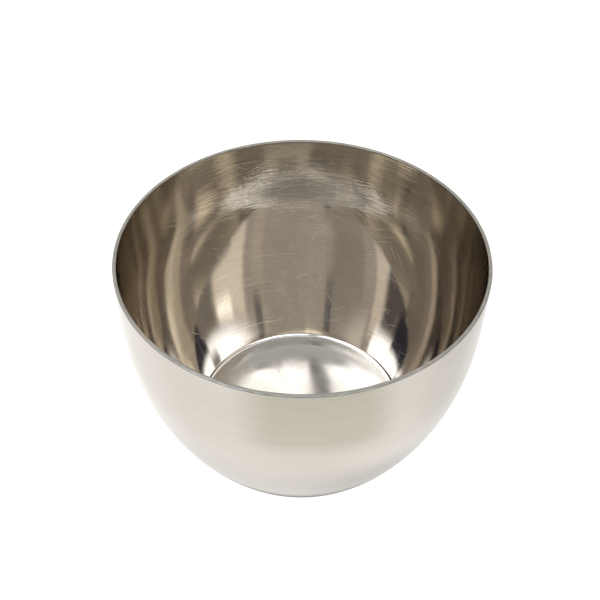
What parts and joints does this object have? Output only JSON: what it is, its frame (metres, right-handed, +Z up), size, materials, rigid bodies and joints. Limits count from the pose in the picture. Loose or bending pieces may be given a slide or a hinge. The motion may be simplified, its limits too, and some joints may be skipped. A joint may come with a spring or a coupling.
{
  "type": "shaving bowl",
  "caption": "Deep stainless steel lather bowl with a flat base, a rounded wall that rises almost upright and a plain rubbed rim; polished inside, satin outside.",
  "frame": {"origin": "centre of the flat base, on the table", "axes": "+Z up out of the mouth; the bowl is round about Z"},
  "size_m": [0.1, 0.1, 0.0674],
  "materials": {
    "steel": "satin"
  },
  "bodies": {
    "root": {"bowl_shell": "steel"}
  },
  "joints": []
}
